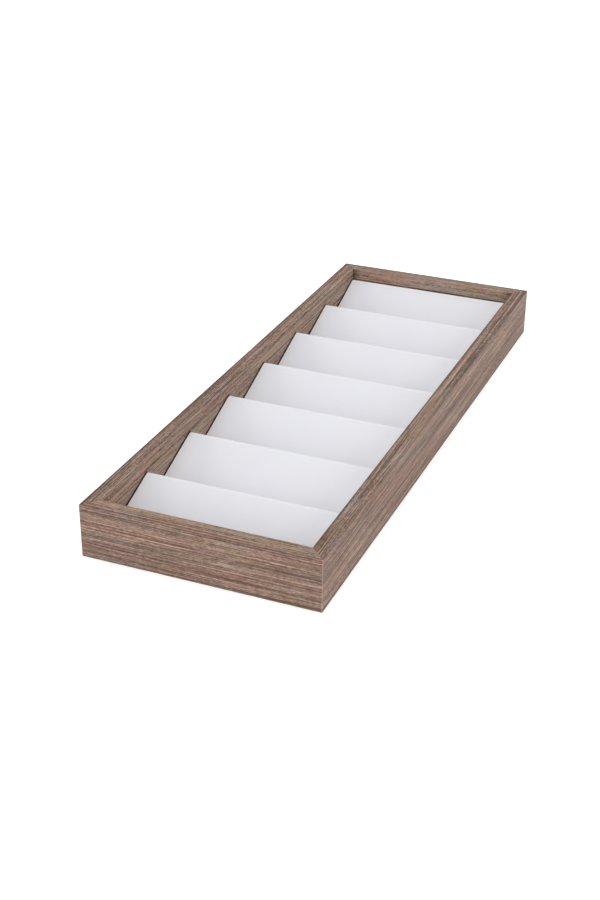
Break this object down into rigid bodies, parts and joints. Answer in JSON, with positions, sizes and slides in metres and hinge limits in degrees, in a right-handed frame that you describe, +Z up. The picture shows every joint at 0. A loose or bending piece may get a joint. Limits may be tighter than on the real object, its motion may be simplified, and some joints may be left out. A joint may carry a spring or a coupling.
{
  "type": "multi glasses organizer",
  "caption": "Long shallow wooden tray with a row of slanted white steps that each hold a pair of spectacles, for a drawer, a shelf or a display.",
  "frame": {"origin": "centre of the tray's footprint, on the surface that the rails stand on", "axes": "+X to the right across the steps, +Y along the row from the low front of the first step towards the back, +Z up"},
  "size_m": [0.18, 0.51, 0.041],
  "materials": {
    "rail_decor": "satin",
    "base_board": "matte",
    "step_board": "matte",
    "step_cover": "satin",
    "nail_steel": "satin"
  },
  "bodies": {
    "root": {"front_rail": "rail_decor", "back_rail": "rail_decor", "left_rail": "rail_decor", "right_rail": "rail_decor", "base_board": "base_board", "corner_v_nails": "nail_steel", "step_board_1": "step_board", "step_riser_1": "step_board", "step_cover_1": "step_cover", "step_board_2": "step_board", "step_riser_2": "step_board", "step_cover_2": "step_cover", "step_board_3": "step_board", "step_riser_3": "step_board", "step_cover_3": "step_cover", "step_board_4": "step_board", "step_riser_4": "step_board", "step_cover_4": "step_cover", "step_board_5": "step_board", "step_riser_5": "step_board", "step_cover_5": "step_cover", "step_board_6": "step_board", "step_riser_6": "step_board", "step_cover_6": "step_cover", "step_board_7": "step_board", "step_riser_7": "step_board", "step_cover_7": "step_cover"}
  },
  "joints": []
}
